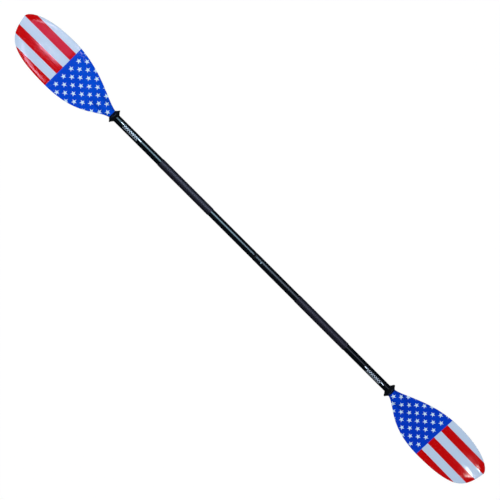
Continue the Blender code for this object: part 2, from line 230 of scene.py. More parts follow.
blade = {
    "length": 0.445,
    "width": 0.181,
    "throatRadius": 0.0155,
    "rim": 0.0024,
    "skin": 0.0009,
    "coreSwell": 0.0018,  # added to half the thickness in the middle of the blade
    "swellRun": 0.060,  # from the throat, over which it comes on
    "swellTaper": 0.4,  # share of the swell that is lost by the tip
    "spoonDip": 0.006,
    "dipShare": 0.18,  # of the length, over which the dip comes on
    "spoonRise": 0.0375,
    "dish": 0.0030,
    "dishShare": 0.3,  # and the dish
    "spineHalfWidth": 0.024,
    "spineRun": 0.030,
    "spinePowers": (2.5, 1.2),
    "frontFade": (0.030, 0.105),  # where the bulge starts to fade, and over what length
    "backFade": (0.115, 0.215),
    "leanSpan": (0.70, 0.98),  # where the rows turn to end at the tip
    "denseWidth": 0.030,  # closer columns over the spine
    "flatWidth": 0.045,  # half width from which the columns are laid out as on the open blade
    "rows": 150,
    "columns": 40,  # across each half
    "rollColumns": 7,  # round the rim
    "lastRow": 0.997,
    "tip": (1.0, 0.155),
    "upperEdge": {"throatHandle": (0.1064, 0.036), "widest": (0.5955, 0.478),
                  "widestHandles": (0.2925, 0.315), "tipHandle": (1.004, 0.239)},
    "lowerEdge": {"throatHandle": (0.1135, -0.069), "widest": (0.5268, -0.522),
                  "widestHandles": (0.341, 0.3946), "tipHandle": (0.9766, -0.311)},
}
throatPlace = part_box("right_blade_front")[0].x
bladeLength = blade["length"]


def smoothStep(value, low, high):
    share = min(max((value - low) / (high - low), 0.0), 1.0)
    return share * share * (3 - 2 * share)


def bezierPoint(points, share):
    rest = 1 - share
    weights = (rest ** 3, 3 * rest ** 2 * share, 3 * rest * share ** 2, share ** 3)
    return tuple(sum(w * p[k] for w, p in zip(weights, points)) for k in (0, 1))


def edgePoint(edge, share):
    sign = math.copysign(1, edge["widest"][1])
    root = (0, sign * blade["throatRadius"])
    length, width = bladeLength, blade["width"]
    first = (edge["throatHandle"][0] * length, root[1] + edge["throatHandle"][1] * width)
    widest = (edge["widest"][0] * length, edge["widest"][1] * width)
    before, after = (value * length for value in edge["widestHandles"])
    last = (edge["tipHandle"][0] * length, edge["tipHandle"][1] * width)
    tip = (blade["tip"][0] * length, blade["tip"][1] * width)
    if share <= 0.5:
        return bezierPoint((root, first, (widest[0] - before, widest[1]), widest), share * 2)
    return bezierPoint((widest, (widest[0] + after, widest[1]), last, tip), share * 2 - 1)


def middleHeight(along, across):
    dip = blade["spoonDip"] * smoothStep(along, 0, blade["dipShare"] * bladeLength)
    rise = blade["spoonRise"] * (along / bladeLength) ** 2
    dish = blade["dish"] * (2 * across / blade["width"]) ** 2
    return rise - dip + dish * smoothStep(along, 0, blade["dishShare"] * bladeLength)


def bulgeShare(along, across, halfWidth):
    # the shaft's round end, running out into a spine
    ring = math.sqrt(max(0.0, 1 - (across / blade["throatRadius"]) ** 2))
    width = min(blade["spineHalfWidth"], halfWidth)
    inner, outer = blade["spinePowers"]
    bell = max(0.0, 1 - (abs(across) / width) ** inner) ** outer
    return max(ring, bell * smoothStep(along, 0, blade["spineRun"]))


def faceHeight(along, across, share, halfWidth, roll, up):
    # roll is 1 on the open face and falls to 0 round the rim; up is 1 in front and -1 behind
    swell = smoothStep(along, 0, blade["swellRun"]) * (1 - blade["swellTaper"] * along / bladeLength)
    halfThickness = blade["rim"] / 2 * roll + blade["coreSwell"] * (1 - abs(share) ** 3) * swell
    plate = middleHeight(along, across) + up * halfThickness
    start, length = blade["frontFade"] if up > 0 else blade["backFade"]
    stands = 1 - smoothStep(along, start, start + length)
    lift = (up * blade["throatRadius"] - plate) * bulgeShare(along, across, halfWidth)
    return plate + lift * stands


def columnPlaces(halfWidth):
    # (share of the half width, how far the surface has come round the rim) from the middle out
    rollRadius = blade["rim"] / 2
    dense = min(1.0, blade["denseWidth"] / halfWidth)
    flat = smoothStep(halfWidth, blade["throatRadius"], blade["flatWidth"])
    places = []
    for k in range(blade["columns"] + 1):
        even = k / blade["columns"]
        share = (1 - flat) * math.sin(even * math.pi / 2) + flat * (dense * even + (1 - dense) * even ** 3)
        places.append((share * (1 - rollRadius / halfWidth), 1.0))
    for k in range(1, blade["rollColumns"] + 1):
        turn = math.pi / 2 * (1 - k / blade["rollColumns"])
        places.append((1 - rollRadius / halfWidth * (1 - math.cos(turn)), math.sin(turn)))
    return places


def bladeRow(percent):
    # both ends of a row and its middle, which leans over to the tip
    upper, lower = edgePoint(blade["upperEdge"], percent), edgePoint(blade["lowerEdge"], percent)
    lean = smoothStep(percent, *blade["leanSpan"])
    return upper, lower, ((upper[0] + lower[0]) / 2, (upper[1] + lower[1]) / 2 * lean)


def rowPoint(middle, edge, share):
    return tuple(middle[k] + (edge[k] - middle[k]) * share for k in (0, 1))


def bladeSkin(name, side, up):
    rows, half = blade["rows"], blade["columns"] + blade["rollColumns"]
    deselectAll()
    bpy.ops.mesh.primitive_grid_add(x_subdivisions=rows, y_subdivisions=2 * half, size=2)
    piece = bpy.context.object
    piece.name = piece.data.name = name
    rolls = []
    for vert in piece.data.vertices:
        row = round((vert.co.x + 1) / 2 * rows)
        column = round((vert.co.y + 1) / 2 * 2 * half) - half
        upper, lower, middle = bladeRow(blade["lastRow"] * row / rows)
        edge = upper if column >= 0 else lower
        halfWidth = math.hypot(edge[0] - middle[0], edge[1] - middle[1])
        share, roll = columnPlaces(halfWidth)[abs(column)]
        along, across = rowPoint(middle, edge, share)
        height = faceHeight(along, across, share, halfWidth, roll, up)
        vert.co = (side * (throatPlace + along), across, height)
        rolls.append(1 - roll)
    band = piece.data.attributes.new("rimBand", "FLOAT", "POINT")
    band.data.foreach_set("value", rolls)
    startEdit(piece)
    if side * up < 0:
        bpy.ops.mesh.flip_normals()
    bpy.ops.object.mode_set(mode="OBJECT")
    useModifier(piece, "SOLIDIFY", thickness=blade["skin"], offset=-1)
    shadeByAngle(piece, degrees=40)
    return piece


# a canton of stars at the throat and stripes to the tip; the two blades differ a little
printLook = {
    "white": (0.488, 0.575, 0.690),
    "red": (0.53, 0.0010, 0.0014),
    "star": (0.58, 0.70, 0.78),
    "stripeEdges": (0.0597, 0.0282, -0.0056, -0.0372, -0.0678),
    "starRadius": 0.0098,
    "rowSpacing": 0.0217,
    "starPitch": 0.0376,
    "firstStar": 0.0107,
    "starInner": 0.40,  # share of the radius at a star's inner corners
    "edgeSoftness": 0.0004,
    "cloudScale": 9.0, "cloudSpan": (0.42, 0.70), "cloudShare": 0.45,  # pale clouds in the blue
    "throatHighlightSpan": (0.085, 0.025), "throatHighlightShare": 0.30,  # painted highlight, the blue paler next to the throat
    "clothPitch": 0.0022, "clothShade": (0.93, 1.0), "clothDepth": 0.000012,  # woven glass cloth
    "speckScale": 420.0, "speckShade": (0.97, 1.0),
    "laminate": (0.36, 0.30, 0.20), "laminateDark": (0.10, 0.08, 0.06),  # bare layers round the rim
    "layerStretch": (30, 30, 900), "rimSpan": (0.30, 0.55),
    "rough": (0.28, 0.38), "roughScale": 60.0, "coatRough": 0.045,
    "flowStretch": (5, 45, 20), "flowDepth": 0.00003,  # slight waves in the gloss, along the blade
    # the left blade's blues are set lighter than the right's: painted light, one print lit more on the left
    # blade
    "left": {"cantonEdge": 0.9390, "slant": 0.0, "starSlant": 0.0, "turn": 0.004, "firstRow": 0.0233,
             "blue": (0.0005, 0.050, 0.50), "paleBlue": (0.0008, 0.085, 0.58)},
    "right": {"cantonEdge": 0.9334, "slant": 0.046, "starSlant": 0.031, "turn": 0.0148, "firstRow": 0.0205,
              "blue": (0.0004, 0.034, 0.44), "paleBlue": (0.0006, 0.055, 0.52)},
}


def starMask(material, x, y, firstRow):
    # x runs from the canton's edge to the throat, y across; odd rows are shifted by half a pitch
    look = printLook
    row = calc(material, "ROUND", calc(material, "DIVIDE",
               calc(material, "SUBTRACT", x, firstRow), look["rowSpacing"]))
    inRow = calc(material, "SUBTRACT", calc(material, "SUBTRACT", x, firstRow),
                 calc(material, "MULTIPLY", row, look["rowSpacing"]))
    odd = calc(material, "FLOORED_MODULO", row, 2.0)
    shifted = calc(material, "SUBTRACT", calc(material, "SUBTRACT", y, look["firstStar"]),
                   calc(material, "MULTIPLY", odd, look["starPitch"] / 2))
    inPitch = calc(material, "WRAP", shifted, look["starPitch"] / 2, -look["starPitch"] / 2)
    angle = calc(material, "ARCTAN2", inRow, inPitch)
    fifth = 2 * math.pi / 5
    folded = calc(material, "ABSOLUTE", calc(material, "WRAP", angle, fifth / 2, -fifth / 2))
    reach = calc(material, "SQRT", calc(material, "ADD", calc(material, "MULTIPLY", inRow, inRow),
                 calc(material, "MULTIPLY", inPitch, inPitch)))
    outer, inner = look["starRadius"], look["starRadius"] * look["starInner"]
    cornerX, cornerY = inner * math.cos(fifth / 2), inner * math.sin(fifth / 2)
    size = math.hypot(cornerY, outer - cornerX)
    sideX, sideY = cornerY / size, (outer - cornerX) / size
    across = calc(material, "ADD",
                  calc(material, "MULTIPLY", calc(material, "MULTIPLY", reach, sideX),
                       calc(material, "COSINE", folded)),
                  calc(material, "MULTIPLY", calc(material, "MULTIPLY", reach, sideY),
                       calc(material, "SINE", folded)))
    soft = look["edgeSoftness"]
    inStar = ramp(material, across, sideX * outer + soft, sideX * outer - soft)
    return calc(material, "MULTIPLY", inStar, calc(material, "GREATER_THAN", row, -0.5))


def printMaterial(name, sideWord):
    look = printLook
    own = look[sideWord]
    material = newMaterial(name, Specular_IOR_Level=0.0, Coat_Weight=1.0, Coat_Roughness=look["coatRough"],
                           Coat_IOR=1.5)
    vector = place(material)
    x, y = splitPlace(material, vector)[:2]
    outward = calc(material, "MULTIPLY", x, float(sides[sideWord]))
    turned = calc(material, "ADD", y, calc(material, "MULTIPLY",
                  calc(material, "SUBTRACT", outward, own["cantonEdge"]), own["turn"]))
    fromEdge = calc(material, "SUBTRACT", calc(material, "ADD", own["cantonEdge"],
                    calc(material, "MULTIPLY", turned, own["slant"])), outward)
    soft = look["edgeSoftness"]
    # stripes: each edge adds or takes away the red
    red = 0.0
    for k, edgePlace in enumerate(look["stripeEdges"]):
        below = ramp(material, turned, edgePlace + soft, edgePlace - soft)
        red = below if k == 0 else calc(material, "SUBTRACT" if k % 2 else "ADD", red, below)
    cloudy = noise(material, vector, look["cloudScale"], 2.0)
    fine = noise(material, vector, look["speckScale"], 2.0)
    blueMix = ramp(material, cloudy, *look["cloudSpan"], 0.0, look["cloudShare"])
    # painted highlight: the blue turns paler towards the throat, while the clouds vary its tone at random
    throatHighlight = ramp(material, outward, *(throatPlace + distance for distance in look["throatHighlightSpan"]),
                      0.0, look["throatHighlightShare"])
    blue = mixColour(material, calc(material, "MAXIMUM", blueMix, throatHighlight), own["blue"], own["paleBlue"])
    stripes = mixColour(material, red, look["white"], look["red"])
    fromEdgeStars = calc(material, "SUBTRACT", calc(material, "ADD", own["cantonEdge"],
                         calc(material, "MULTIPLY", turned, own["starSlant"])), outward)
    stars = starMask(material, fromEdgeStars, turned, own["firstRow"])
    canton = mixColour(material, stars, blue, look["star"])
    onCanton = ramp(material, fromEdge, -soft, soft)
    colour = mixColour(material, onCanton, stripes, canton)
    # the cloth shows a little through the print
    weave = 2 * math.pi / look["clothPitch"]
    warp = calc(material, "SINE", calc(material, "MULTIPLY", x, weave))
    weft = calc(material, "SINE", calc(material, "MULTIPLY", y, weave))
    cloth = calc(material, "MULTIPLY", warp, weft)
    shade = ramp(material, cloth, -1.0, 1.0, *look["clothShade"], smooth=False)
    shadeFine = calc(material, "MULTIPLY", shade, spread(material, fine, *look["speckShade"]))
    shadeColour = addNode(material, "ShaderNodeCombineColor",
                          {"Red": shadeFine, "Green": shadeFine, "Blue": shadeFine}).outputs[0]
    colour = mixColour(material, 1.0, colour, shadeColour, "MULTIPLY")
    rimBand = addNode(material, "ShaderNodeAttribute", attribute_name="rimBand").outputs["Fac"]
    onRim = ramp(material, rimBand, *look["rimSpan"])
    layers = noise(material, stretched(material, vector, look["layerStretch"]), 1.0)
    rimColour = mixColour(material, layers, look["laminate"], look["laminateDark"])
    colour = mixColour(material, onRim, colour, rimColour)
    feed(material, colour, shaderOf(material).inputs["Base Color"])
    rough = spread(material, noise(material, vector, look["roughScale"]), *look["rough"])
    feed(material, rough, shaderOf(material).inputs["Roughness"])
    flow = noise(material, stretched(material, vector, look["flowStretch"]), 1.0, 2.0)
    flowNormal = bump(material, flow, look["flowDepth"])
    feed(material, bump(material, cloth, look["clothDepth"], flowNormal), shaderOf(material).inputs["Normal"])
    feed(material, flowNormal, shaderOf(material).inputs["Coat Normal"])
    return material


for word, side in sides.items():
    front = bladeSkin(f"{word}_blade_power_face", side, 1)
    finishPiece(front, f"{word}_half", "blade_print", printMaterial(f"{word} print", word),
                f"{word}_blade_front")
    back = bladeSkin(f"{word}_blade_back_face", side, -1)
    finishPiece(back, f"{word}_half", "blade_back_print", printMaterial(f"{word} back print", word),
                f"{word}_blade_back")


foam = {
    "rows": 40, "columns": 24,
    "start": 0.30, "end": 0.90,  # shares of the blade's outline
    "reach": 0.82,  # share of the half width
    "under": 0.0013,  # how far inside the faces
    "cellScale": 900.0, "cellDepth": 0.0003,
    # the cell colours run from each dimple's bottom to its rim, darker at the bottom as painted shade
    "colour": (0.74, 0.70, 0.58), "cellColours": ((0.62, 0.57, 0.44), (0.80, 0.77, 0.66)),
}


def foamCore(name, side):
    # two sheets a little inside the skins, from just past the tube's end, joined round their edges
    deselectAll()
    sheets = []
    for up in (1, -1):
        bpy.ops.mesh.primitive_grid_add(x_subdivisions=foam["rows"], y_subdivisions=foam["columns"], size=2)
        sheetPiece = bpy.context.object
        for vert in sheetPiece.data.vertices:
            percent = foam["start"] + (foam["end"] - foam["start"]) * (vert.co.x + 1) / 2
            upper, lower, middle = bladeRow(percent)
            edge = upper if vert.co.y >= 0 else lower
            share = abs(vert.co.y) * foam["reach"]
            along, across = rowPoint(middle, edge, share)
            halfWidth = math.hypot(edge[0] - middle[0], edge[1] - middle[1])
            height = faceHeight(along, across, share, halfWidth, 1.0, up)
            vert.co = (side * (throatPlace + along), across, height - up * foam["under"])
        sheets.append(sheetPiece)
    selectOnly(sheets[0])
    sheets[1].select_set(True)
    bpy.ops.object.join()
    piece = bpy.context.object
    piece.name = piece.data.name = name
    startEdit(piece)
    bpy.ops.mesh.select_mode(type="EDGE")
    bpy.ops.mesh.select_all(action="DESELECT")
    bpy.ops.mesh.select_non_manifold(extend=False, use_boundary=True, use_wire=False,
                                     use_multi_face=False, use_non_contiguous=False, use_verts=False)
    bpy.ops.mesh.bridge_edge_loops()
    bpy.ops.mesh.select_all(action="SELECT")
    bpy.ops.mesh.normals_make_consistent(inside=False)
    bpy.ops.object.mode_set(mode="OBJECT")
    shadeByAngle(piece, 40)
    return piece


foamLook = newMaterial("foam core", Base_Color=foam["colour"], Roughness=0.9)
cells = addNode(foamLook, "ShaderNodeTexVoronoi", {"Vector": place(foamLook), "Scale": foam["cellScale"]})
# painted shade: each cell is a dimple, coloured darker down in it
foamColour = mixColour(foamLook, ramp(foamLook, cells.outputs["Distance"], 0.0, 0.8), *foam["cellColours"])
feed(foamLook, foamColour, shaderOf(foamLook).inputs["Base Color"])
feed(foamLook, bump(foamLook, cells.outputs["Distance"], foam["cellDepth"]),
     shaderOf(foamLook).inputs["Normal"])
for word, side in sides.items():
    finishPiece(foamCore(f"{word}_foam_core", side), f"{word}_half", "foam", foamLook, f"{word}_blade_core")
print("blades laid up")


shaft = {
    "radius": 0.0143, "wall": 0.0016, "sleeveRadius": 0.01455, "edge": 0.0003,
    "scarf": (0.020, 0.105),  # from the throat, top and bottom of the slanted end
    "leftGap": 0.0001, "rightGap": 0.0003,  # to the collar and to the sleeve
}
gloss = {"streakStretch": (6, 900, 900), "grainScale": 1400.0, "grainShare": 0.5, "depth": 0.00001}


def glossBlack(name, base=(0.0006, 0.0011, 0.0018), rough=(0.17, 0.25), shine=0.5):
    # black with fine streaks along the shaft
    material = newMaterial(name, Base_Color=base, Specular_IOR_Level=shine)
    vector = place(material)
    streaks = noise(material, stretched(material, vector, gloss["streakStretch"]), 1.0, 3.0)
    feed(material, spread(material, streaks, *rough), shaderOf(material).inputs["Roughness"])
    grain = noise(material, vector, gloss["grainScale"], 2.0)
    height = calc(material, "ADD", streaks, calc(material, "MULTIPLY", grain, gloss["grainShare"]))
    feed(material, bump(material, height, gloss["depth"]), shaderOf(material).inputs["Normal"])
    return material


def ringPlaces(start, end, rings=12, margin=0.0012):
    # one close to each end keeps the shading of a rounded edge off the long wall
    step = margin if end > start else -margin
    span = end - start - 2 * step
    return [start] + [start + step + span * k / rings for k in range(rings + 1)] + [end]


def tubeProfile(start, end, outer, inner):
    places = ringPlaces(start, end)
    return [(x, outer) for x in places] + [(x, inner) for x in reversed(places)]


label = {
    "start": 0.565, "end": 0.662, "bar": 0.0125, "gap": 0.0018,
    "lift": {"left": 0.0, "right": -0.0036},  # the right one sits lower round the tube
    "height": 0.0026, "barHalf": 0.0011,
    "waveTop": 0.0062, "waveBottom": -0.0032, "dashTop": -0.0042, "dashBottom": -0.0076,
    "wavePeriod": 0.0085, "waveReach": 0.62, "waveLine": (0.0021, 0.0017),
    "dashPeriod": 0.0050, "dashCut": (-0.3, -0.1),
    "barInk": (0.75, 0.76, 0.80), "waveInk": (0.30, 0.31, 0.34), "dashInk": (0.16, 0.165, 0.18),
}


def between(material, value, low, high, soft=0.0002):
    return calc(material, "MULTIPLY", ramp(material, value, low - soft, low + soft),
                ramp(material, value, high + soft, high - soft))


def labelled(material, sideWord):
    # two bars with a row of waves and a row of dashes between them, printed along the top
    look = label
    x, y, z = splitPlace(material, place(material))
    y = calc(material, "SUBTRACT", y, look["lift"][sideWord])
    out = calc(material, "ABSOLUTE", x)
    bars = calc(material, "ADD", between(material, out, look["start"], look["start"] + look["bar"]),
                between(material, out, look["end"] - look["bar"], look["end"]))
    bars = calc(material, "MULTIPLY", bars,
                between(material, y, look["height"] - look["barHalf"], look["height"] + look["barHalf"]))
    block = between(material, out, look["start"] + look["bar"] + look["gap"],
                    look["end"] - look["bar"] - look["gap"])
    middle = (look["waveTop"] + look["waveBottom"]) / 2
    swing = (look["waveTop"] - look["waveBottom"]) / 2
    wave = calc(material, "MULTIPLY", calc(material, "SINE",
                calc(material, "MULTIPLY", out, 2 * math.pi / look["wavePeriod"])), swing * look["waveReach"])
    offWave = calc(material, "ABSOLUTE", calc(material, "SUBTRACT",
                   calc(material, "SUBTRACT", y, middle), wave))
    waves = calc(material, "MULTIPLY", block, ramp(material, offWave, *look["waveLine"]))
    dashes = ramp(material, calc(material, "SINE", calc(material, "MULTIPLY", out,
                  2 * math.pi / look["dashPeriod"])), *look["dashCut"])
    dashes = calc(material, "MULTIPLY", calc(material, "MULTIPLY", dashes, block),
                  between(material, y, look["dashBottom"], look["dashTop"]))
    onTop = calc(material, "GREATER_THAN", z, 0.0)
    bars, waves, dashes = (calc(material, "MULTIPLY", shape, onTop) for shape in (bars, waves, dashes))
    shader = shaderOf(material)
    base = tuple(shader.inputs["Base Color"].default_value)[:3]
    colour = mixColour(material, dashes, base, look["dashInk"])
    colour = mixColour(material, waves, colour, look["waveInk"])
    colour = mixColour(material, bars, colour, look["barInk"])
    feed(material, colour, shader.inputs["Base Color"])
    return material


leftGloss = labelled(glossBlack("left tube gloss"), "left")
rightGloss = labelled(glossBlack("right tube gloss"), "right")

joint = {
    "plugRadius": 0.0124, "wall": 0.0016, "collar": 0.0025, "collarStep": 0.0006, "bond": 0.058,
    "spigot": 0.095, "chamfer": 0.0006, "clearance": 0.0003,
    "sleeveUnderGrip": 0.018, "sleeveTail": 0.050, "sleeveLead": 0.0073,  # the tail is in the right tube
    "featherStep": math.radians(60), "drillDepth": 0.016, "drillHeight": 0.0155,
    "buttonPlace": 0.035, "buttonRadius": 0.00325, "buttonTurn": math.radians(10), "buttonTravel": 0.0048,
    "buttonStands": 0.0024, "buttonDome": 0.65, "domeSteps": 12, "footRim": 0.00135, "footThick": 0.0010,
    "grooveDepth": 0.0012, "sealEdge": 0.0002, "sealMargin": 0.0015,
}
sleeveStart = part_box("female_ferrule")[0].x
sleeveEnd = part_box("right_grip")[0].x + joint["sleeveUnderGrip"]


def shaftTube(name, side, start):
    # drawn to the end of its scarf, then cut on the slant from the top down
    first, last = (throatPlace + distance for distance in shaft["scarf"])
    profile = tubeProfile(start, last, shaft["radius"], shaft["radius"] - shaft["wall"])
    piece = turnPiece(name, [(side * x, r) for x, r in profile], edge=shaft["edge"])
    deselectAll()
    cutterSize = 0.2
    bpy.ops.mesh.primitive_cube_add(size=cutterSize)
    cutter = bpy.context.object
    slant = math.atan2(2 * shaft["radius"], last - first)
    cutter.rotation_euler = (0, side * slant, 0)
    normal = Vector((side * math.sin(slant), 0, math.cos(slant)))
    cutter.location = Vector((side * (first + last) / 2, 0, 0)) + normal * cutterSize / 2
    applyPlace(cutter)
    useModifier(piece, "BOOLEAN", object=cutter, operation="DIFFERENCE")
    bpy.data.objects.remove(cutter, do_unlink=True)
    shadeByAngle(piece)
    return piece


finishPiece(shaftTube("left_tube", -1, joint["collar"] + shaft["leftGap"]), "left_half", "shaft_gloss",
            leftGloss, "left_shaft_tube")
finishPiece(shaftTube("right_tube", 1, sleeveEnd + shaft["rightGap"]), "right_half", "shaft_gloss",
            rightGloss, "right_shaft_tube")
print("tubes drawn")


def drillHoles(piece, angles, radius):
    # holes through the wall at the button's place, each turned about the shaft
    for angle in angles:
        deselectAll()
        bpy.ops.mesh.primitive_cylinder_add(vertices=48, radius=radius, depth=joint["drillDepth"],
                                            rotation=(angle, 0, 0))
        drill = bpy.context.object
        drill.location = (joint["buttonPlace"], -math.sin(angle) * joint["drillHeight"],
                          math.cos(angle) * joint["drillHeight"])
        applyPlace(drill)
        useModifier(piece, "BOOLEAN", object=drill, operation="DIFFERENCE")
        bpy.data.objects.remove(drill, do_unlink=True)


sleeveSatin = glossBlack("sleeve satin", base=(0.0008, 0.0010, 0.0018), rough=(0.25, 0.32))
ferruleBlack = glossBlack("ferrule black", base=(0.0020, 0.0020, 0.0024), rough=(0.42, 0.55), shine=0.04)
plug, bore = joint["plugRadius"], joint["plugRadius"] - joint["wall"]
sealBore, holeRadius = plug + joint["clearance"], joint["buttonRadius"] + joint["clearance"]
tailEnd = sleeveEnd + joint["sleeveTail"]
sleeve = turnPiece("right_sleeve", [
    *((x, shaft["sleeveRadius"]) for x in ringPlaces(sleeveStart, sleeveEnd)),
    (sleeveEnd, plug), (tailEnd, plug), (tailEnd, bore), (sleeveEnd, bore),
    (sleeveEnd - joint["sleeveLead"], sealBore), (sleeveStart, sealBore)], steps=120)
drillHoles(sleeve, [joint["buttonTurn"] + k * joint["featherStep"] for k in (-1, 0, 1)], holeRadius)
softenEdges(sleeve, width=0.0003, segments=3, degrees=40)
shadeByAngle(sleeve, degrees=30)
finishPiece(sleeve, "right_half", "sleeve_satin", sleeveSatin, "female_ferrule")

collarRadius = shaft["radius"] - joint["collarStep"]  # stands back, as a dark line round the shaft
bondEnd = -joint["collar"] - joint["bond"]
spigot = turnPiece("left_spigot", [
    (joint["spigot"], plug - joint["chamfer"]),
    *((x, plug) for x in ringPlaces(joint["spigot"] - joint["chamfer"], 0, rings=6)),
    (0, collarRadius), (-joint["collar"], collarRadius), (-joint["collar"], plug),
    (bondEnd, plug), (bondEnd, bore), (joint["spigot"], bore)], steps=120)
drillHoles(spigot, [joint["buttonTurn"]], holeRadius)
softenEdges(spigot, width=0.0002, segments=2, degrees=40)
shadeByAngle(spigot, degrees=30)
finishPiece(spigot, "left_half", "ferrule_black", ferruleBlack, "male_ferrule")

ringRubber = glossBlack("ring rubber", base=(0.0014, 0.0014, 0.0020), rough=(0.40, 0.52), shine=0.35)
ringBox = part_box("joint_ring")
sealStart, sealEnd, sealRadius = ringBox[0].x, ringBox[1].x, ringBox[1].z
groove = joint["grooveDepth"]  # a V on the side of the collar
jointRing = turnPiece("joint_seal", [
    (sealStart, sealRadius - joint["sealEdge"]), (sealStart + groove, sealRadius - groove),
    (sealStart + 2 * groove, sealRadius), (sealStart + 2 * groove + joint["sealMargin"], sealRadius),
    (sealEnd - joint["sealMargin"], sealRadius), (sealEnd, sealRadius),
    (sealEnd, sealBore), (sealStart, sealBore)], edge=joint["sealEdge"])
finishPiece(jointRing, "ring", "ring_rubber", ringRubber, "joint_ring")


def snapButton():
    # a pin with a domed head and a wider foot, turned about its own axis and then laid over
    top = shaft["sleeveRadius"] + joint["buttonStands"]
    radius = joint["buttonRadius"]
    shoulder = top - radius * joint["buttonDome"]
    profile = [(shoulder + (top - shoulder) * math.cos(turn), radius * math.sin(turn))
               for turn in (math.pi / 2 * k / joint["domeSteps"] for k in range(joint["domeSteps"] + 1))]
    footRadius = radius + joint["footRim"]
    footTop = math.sqrt(bore ** 2 - footRadius ** 2) - joint["clearance"]
    footUnder = footTop - joint["footThick"]
    profile += [(footTop, radius), (footTop, footRadius), (footUnder, footRadius), (footUnder, 0)]
    piece = turnPiece("snap_pin", profile, steps=48)
    softenEdges(piece, width=0.00015, segments=2, degrees=50)
    piece.rotation_euler = (0, -math.pi / 2, 0)
    applyPlace(piece)
    piece.rotation_euler = (joint["buttonTurn"], 0, 0)
    piece.location = (joint["buttonPlace"], 0, 0)
    applyPlace(piece)
    shadeByAngle(piece, degrees=40)
    return piece


buttonSteel = newMaterial("button steel", Base_Color=(0.82, 0.83, 0.85), Metallic=1.0)
polish = spread(buttonSteel, noise(buttonSteel, place(buttonSteel), 900.0), 0.26, 0.38)
feed(buttonSteel, polish, shaderOf(buttonSteel).inputs["Roughness"])
finishPiece(snapButton(), "button", "button_steel", buttonSteel, "snap_button")
print("joint fitted")

grip = {
    "radius": 0.0154,
    "rings": 60,  # along the wall
    "outerEnd": ((0.0, 0.0005), (0.0003, 0.0001), (0.0010, 0.0)),  # (from the end, under the radius)
    "innerEnd": ((0.0010, 0.0), (0.0003, 0.0001), (0.0, 0.0004)),
    "stepPast": 0.0009,  # where the bore narrows, past the sleeve
    "rib": 0.0022, "diamonds": 44.0,  # pitch along the shaft, and how many round it
    "grainScale": 2200.0, "grainDepth": 0.00005, "rough": (0.38, 0.50),
    # the two colours are laid by the knurl's height, the darker one down in the grooves as painted shade
    "colours": ((0.0040, 0.0034, 0.0056), (0.0060, 0.0051, 0.0084)),
    "shine": 0.40, "tint": (1.0, 0.80, 0.92, 1.0),
}


def gripPiece(word, side):
    low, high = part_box(f"{word}_grip")
    start, end = (low.x, high.x) if side > 0 else (-high.x, -low.x)
    outer, inner = grip["radius"], shaft["radius"] + joint["clearance"]
    wide = shaft["sleeveRadius"] + joint["clearance"]
    bevel = grip["outerEnd"][2][0]
    profile = [(end, inner)] + [(end - back, outer - under) for back, under in grip["outerEnd"]]
    for k in range(1, grip["rings"]):
        profile.append((end - bevel - (end - start - 2 * bevel) * k / grip["rings"], outer))
    profile += [(start + back, outer - under) for back, under in grip["innerEnd"]]
    if side > 0:
        step = sleeveEnd + grip["stepPast"]
        profile += [(start, wide), (step, wide), (step, inner)]
    else:
        profile += [(start, inner)]
    return turnPiece(f"{word}_hand_grip", [(side * x, r) for x, r in profile], steps=96, shade=40)


def knurledMatte(name):
    # two sets of ribs wound against each other, with a fine grain
    material = newMaterial(name, Specular_IOR_Level=grip["shine"], Specular_Tint=grip["tint"])
    vector = place(material)
    x, y, z = splitPlace(material, vector)
    along = calc(material, "MULTIPLY", x, 2 * math.pi / grip["rib"])
    around = calc(material, "MULTIPLY", calc(material, "ARCTAN2", y, z), grip["diamonds"])
    knurl = calc(material, "MULTIPLY", *(calc(material, "SINE", calc(material, way, along, around))
                                         for way in ("ADD", "SUBTRACT")))
    grain = noise(material, vector, grip["grainScale"], 2.0)
    height = calc(material, "ADD", knurl, grain)
    shader = shaderOf(material)
    # painted shade: the colour is darker down in the knurl's grooves, and the grain also varies it at random
    feed(material, mixColour(material, ramp(material, height, -0.2, 1.2), *grip["colours"]),
         shader.inputs["Base Color"])
    feed(material, spread(material, grain, *grip["rough"]), shader.inputs["Roughness"])
    feed(material, bump(material, height, grip["grainDepth"]), shader.inputs["Normal"])
    return material


gripMatte = knurledMatte("grip matte")
for word, side in sides.items():
    finishPiece(gripPiece(word, side), f"{word}_half", "grip_matte", gripMatte, f"{word}_grip")
print("grips on")

dripRing = {
    "length": 0.0198, "lipRadius": 0.028, "lipPlace": 0.0098, "lipRound": 0.0015, "lipSteps": 5,
    "shaftWall": 0.0012, "bladeWall": 0.0030,
    "flankSteps": 14, "hollow": 1.25,  # the flanks are straight at 1 and hollow above it
}


def dripRingPiece(word, side):
    look = dripRing
    low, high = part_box(f"{word}_drip_ring")
    start = low.x if side > 0 else -high.x
    inner = shaft["radius"] + joint["clearance"]

    def flank(first, last, foot, lip):
        steps = look["flankSteps"]
        return [(first + (last - first) * k / steps, foot + (lip - foot) * (k / steps) ** look["hollow"])
                for k in range(steps + 1)]

    roundOver, lipSteps = look["lipRound"], look["lipSteps"]
    toBlade = flank(look["length"], look["lipPlace"] + roundOver, inner + look["bladeWall"],
                    look["lipRadius"] - roundOver)
    lip = [(look["lipPlace"] + roundOver * math.sin(turn),
            look["lipRadius"] - roundOver * (1 - math.cos(turn)))
           for turn in (math.pi / 2 * (1 - k / lipSteps) for k in range(1, 2 * lipSteps))]
    toShaft = flank(0, look["lipPlace"] - roundOver, inner + look["shaftWall"], look["lipRadius"] - roundOver)
    profile = toBlade + lip + toShaft[::-1] + [(0, inner), (look["length"], inner)]
    return turnPiece(f"{word}_drip_guard", [(side * (start + x), r) for x, r in profile],
                     steps=128, shade=45)


